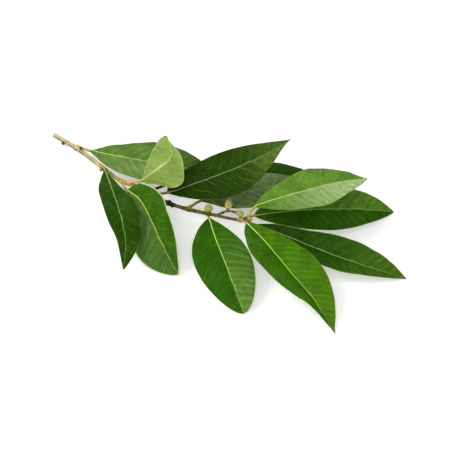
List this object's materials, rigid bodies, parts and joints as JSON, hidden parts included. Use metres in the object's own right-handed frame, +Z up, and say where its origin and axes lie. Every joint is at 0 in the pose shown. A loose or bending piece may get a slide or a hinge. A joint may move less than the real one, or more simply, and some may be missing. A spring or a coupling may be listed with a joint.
{
  "type": "bay laurel sprig",
  "caption": "Cut bay laurel sprig lying flat: a curved woody stem with glossy lance-shaped leaves on short stalks, round flower buds and small leaf buds.",
  "frame": {"origin": "on the resting surface, below the middle of the sprig's bounding box", "axes": "+X along the sprig from the cut end to the leafy tip, +Y away from the viewer who sees the glossy sides, +Z up from the resting surface"},
  "size_m": [0.257, 0.1852, 0.0608],
  "materials": {
    "bark": "smooth young bark, tan at the cut end and brown towards the tip",
    "leaf_dark": "glossy dark green, pale midrib and thin pale margin",
    "leaf_green": "glossy mid green, pale midrib and thin pale margin",
    "leaf_bright": "glossy bright green, pale midrib and thin pale margin",
    "leaf_underside": "matt pale yellow-green underside facing the viewer, glossy green on its other side",
    "green_shoot": "soft green bark",
    "brown_bud": "dry overlapping scales",
    "green_bud": "smooth green scales",
    "flower_bud": "smooth yellow-green, with bract seams"
  },
  "bodies": {
    "root": {"main_stem": "bark", "leaf_01": "leaf_green", "leaf_02": "leaf_dark", "leaf_03": "leaf_green", "leaf_04": "leaf_underside", "leaf_05": "leaf_dark", "leaf_06": "leaf_dark", "leaf_07": "leaf_dark", "leaf_08": "leaf_bright", "leaf_09": "leaf_bright", "leaf_10": "leaf_dark", "leaf_11": "leaf_dark", "leaf_12": "leaf_bright", "flower_shoot": "green_shoot", "leaf_bud_01": "brown_bud", "leaf_bud_02": "brown_bud", "leaf_bud_03": "green_bud", "leaf_bud_04": "green_bud", "flower_bud_01": "flower_bud", "flower_bud_02": "flower_bud", "flower_bud_03": "flower_bud", "end_bud": "brown_bud"}
  },
  "joints": []
}
